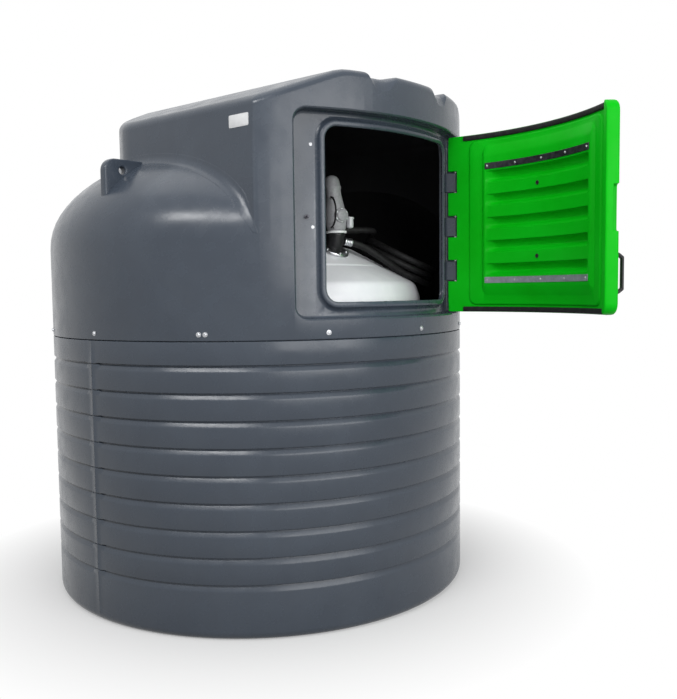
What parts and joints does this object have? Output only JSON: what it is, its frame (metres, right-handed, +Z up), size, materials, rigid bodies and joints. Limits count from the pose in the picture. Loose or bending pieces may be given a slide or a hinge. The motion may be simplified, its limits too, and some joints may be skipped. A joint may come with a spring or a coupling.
{
  "type": "bunded diesel fuel tank",
  "caption": "Round upright bunded plastic diesel tank with a ribbed lower bund, a moulded hood and a pump cabinet with a hinged curved door.",
  "frame": {"origin": "on the tank's vertical axis, at the underside of the bund floor", "axes": "+Z up, -Y to the front where the cabinet door is, +X to the right seen from the front"},
  "size_m": [2.2, 3.1198, 2.492],
  "materials": {
    "tank_grey": "rotationally moulded polyethylene, slate grey, soft sheen",
    "door_green": "rotationally moulded polyethylene, bright green, soft sheen",
    "natural_tank": "natural white polyethylene",
    "black_plastic": "black moulded plastic",
    "black_rubber": "black sealing rubber",
    "steel": "zinc plated steel",
    "pump_casting": "painted grey pump casting",
    "label_white": "bare white plate"
  },
  "bodies": {
    "tank": {"bund_shell": "tank_grey", "bund_floor": "tank_grey", "hood_shell": "tank_grey", "inner_tank": "natural_tank", "manhole_lid": "black_plastic", "suction_flange": "steel", "suction_elbow": "black_plastic", "pump_body": "pump_casting", "hinge_arm_bottom": "tank_grey", "hinge_arm_middle": "tank_grey", "hinge_arm_top": "tank_grey", "hinge_pin_bottom": "steel", "hinge_pin_middle": "steel", "hinge_pin_top": "steel", "latch_keeper": "steel", "label_plate": "label_white", "cabinet_shell": "tank_grey", "lifting_lug_left": "tank_grey", "lifting_lug_right": "tank_grey", "hose_ferrule_outlet": "steel", "hose_ferrule_return": "steel", "delivery_hose": "black_rubber"},
    "door": {"door_shell": "door_green", "pull_handle": "black_plastic", "seal_top": "black_rubber", "seal_bottom": "black_rubber", "strip_top": "steel", "strip_bottom": "steel", "door_plug_lower": "black_plastic", "door_plug_upper": "black_plastic"}
  },
  "joints": [
    {"name": "door_hinge", "type": "hinge", "parent": "tank", "child": "door", "pos_m": [0.36709, -1.03694, 1.849], "axis": [0, 0, 1], "range_deg": [-80, 30]}
  ]
}
